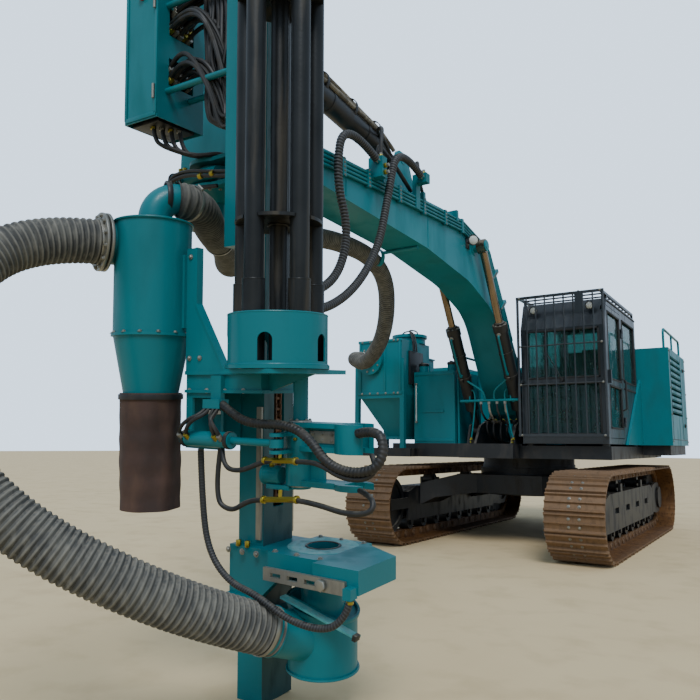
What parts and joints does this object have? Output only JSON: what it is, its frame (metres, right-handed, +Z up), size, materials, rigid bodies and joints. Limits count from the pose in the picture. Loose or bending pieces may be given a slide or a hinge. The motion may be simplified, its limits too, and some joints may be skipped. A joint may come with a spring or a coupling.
{
  "type": "tracked down-the-hole drilling rig",
  "caption": "Excavator-based drilling rig on tracks: slewing upper with cab, boom, and a feed mast with rod carousel, rotary head, clamp table and dust cyclone.",
  "frame": {"origin": "on the ground under the slewing centre", "axes": "+Z up, -Y the way the machine faces, +X its left side with the cab"},
  "size_m": [3.58, 10.7431, 5.9241],
  "materials": {
    "teal_paint": "semi-gloss blue-green machinery paint",
    "black_paint": "satin black",
    "cab_paint": "satin dark grey",
    "track_steel": "surface rust on worn steel",
    "rod_steel": "mill scale, dull",
    "bright_rod": "polished cylinder rod",
    "glass": "clear safety glass",
    "cab_trim": "matt",
    "sleeve_rubber": "dusty red-brown rubber",
    "duct_fabric": "dusty grey spiral duct",
    "hose_rubber": "black rubber",
    "bare_steel": "worn zinc"
  },
  "bodies": {
    "undercarriage": {"carbody": "black_paint", "track_frames": "black_paint", "track_left": "track_steel", "track_right": "track_steel", "rollers": "black_paint", "sprockets": "black_paint"},
    "upper": {"platform": "black_paint", "cab_shell": "cab_paint", "cab_glass": "glass", "cab_guard": "cab_paint", "cab_interior": "cab_trim", "left_body": "teal_paint", "right_body": "teal_paint", "engine_hood": "teal_paint", "engine_block": "black_paint", "counterweight": "teal_paint", "tank": "teal_paint", "dust_collector": "teal_paint", "handrails": "teal_paint", "mirror": "cab_paint"},
    "cab_door": {"cab_door": "cab_paint", "door_glass": "glass"},
    "boom": {"boom": "teal_paint", "boom_pipes": "teal_paint", "dust_duct_boom": "duct_fabric", "hose_loop_a": "hose_rubber", "hose_loop_b": "hose_rubber"},
    "lift_barrels": {"lift_barrels": "black_paint"},
    "lift_rods": {"lift_rods": "bright_rod"},
    "tilt_barrel": {"tilt_barrel": "teal_paint"},
    "tilt_rod": {"tilt_rod": "bright_rod"},
    "mast_head": {"mast_head": "teal_paint"},
    "mast_carrier": {"mast_carrier": "teal_paint", "valve_box": "teal_paint"},
    "feed_beam": {"feed_beam": "teal_paint", "carousel_bracket": "teal_paint", "clamp_table": "teal_paint", "suction_hood": "teal_paint", "cyclone": "teal_paint", "discharge_sleeve": "sleeve_rubber", "dust_duct_feed": "duct_fabric", "clamp_hose": "hose_rubber"},
    "rotary_head": {"rotary_head": "teal_paint"},
    "spindle": {"spindle": "rod_steel"},
    "carousel": {"carousel": "teal_paint", "drill_rods": "rod_steel"},
    "transfer_arm": {"transfer_arm": "teal_paint"},
    "wrench_bar": {"wrench_bar": "bare_steel"}
  },
  "joints": [
    {"name": "slew", "type": "hinge", "parent": "undercarriage", "child": "upper", "pos_m": [0, 0, 0.945], "axis": [0, 0, 1], "continuous": true},
    {"name": "cab_door_hinge", "type": "hinge", "parent": "upper", "child": "cab_door", "pos_m": [1.39, -0.558, 2], "axis": [0, 0, 1], "range_deg": [0, 95]},
    {"name": "boom_lift", "type": "hinge", "parent": "upper", "child": "boom", "pos_m": [0, -0.6, 1.64], "axis": [-1, 0, 0], "range_deg": [-4, 16]},
    {"name": "lift_barrel_pivot", "type": "hinge", "parent": "upper", "child": "lift_barrels", "pos_m": [0, -1.06, 1.38], "axis": [-1, 0, 0], "range_deg": [-4.25, 16.06]},
    {"name": "lift_rod_stroke", "type": "slide", "parent": "lift_barrels", "child": "lift_rods", "axis": [0, -0.5179, 0.8554], "range_m": [-0.0396, 0.1497]},
    {"name": "mast_tilt", "type": "hinge", "parent": "boom", "child": "mast_head", "pos_m": [0, -5.95, 3.27], "axis": [1, 0, 0], "range_deg": [-12, 12], "deforming": ["hose_loop_a", "hose_loop_b", "dust_duct_boom"]},
    {"name": "tilt_barrel_pivot", "type": "hinge", "parent": "boom", "child": "tilt_barrel", "pos_m": [0, -3.75, 3.9], "axis": [1, 0, 0], "range_deg": [-0.4435, 0.4435]},
    {"name": "tilt_rod_stroke", "type": "slide", "parent": "tilt_barrel", "child": "tilt_rod", "axis": [0, -0.995, 0.0995], "range_m": [-0.1799, 0.1799]},
    {"name": "mast_swing", "type": "hinge", "parent": "mast_head", "child": "mast_carrier", "pos_m": [0.33393, -6.45134, 2.73193], "axis": [0.0418, -0.0767, 0.9962], "range_deg": [-15, 15]},
    {"name": "mast_slide", "type": "slide", "parent": "mast_carrier", "child": "feed_beam", "axis": [0.0418, -0.0767, 0.9962], "range_m": [-0.25, 0.35]},
    {"name": "head_feed", "type": "slide", "parent": "feed_beam", "child": "rotary_head", "axis": [0.0418, -0.0767, 0.9962], "range_m": [-3.05, 0.3]},
    {"name": "spindle_turn", "type": "hinge", "parent": "rotary_head", "child": "spindle", "pos_m": [1.41429, -6.94592, 4.86703], "axis": [0.0418, -0.0767, 0.9962], "continuous": true},
    {"name": "carousel_turn", "type": "hinge", "parent": "feed_beam", "child": "carousel", "pos_m": [1.29731, -7.05767, 1.55067], "axis": [0.0418, -0.0767, 0.9962], "continuous": true},
    {"name": "transfer_arm_swing", "type": "hinge", "parent": "feed_beam", "child": "transfer_arm", "pos_m": [1.32307, -6.92176, 1.13845], "axis": [0.0418, -0.0767, 0.9962], "range_deg": [-40, 102]},
    {"name": "wrench_swing", "type": "hinge", "parent": "feed_beam", "child": "wrench_bar", "pos_m": [1.43663, -6.90464, 0.62405], "axis": [0.0032, 0.9971, 0.0767], "range_deg": [-12, 12]}
  ],
  "couplings": [
    {"joint": "lift_barrel_pivot", "follows": "boom_lift", "ratio": 0.98429},
    {"joint": "lift_rod_stroke", "follows": "boom_lift", "m_per_rad": 0.52572},
    {"joint": "tilt_barrel_pivot", "follows": "mast_tilt", "ratio": 0.03623},
    {"joint": "tilt_rod_stroke", "follows": "mast_tilt", "m_per_rad": 0.84231}
  ]
}
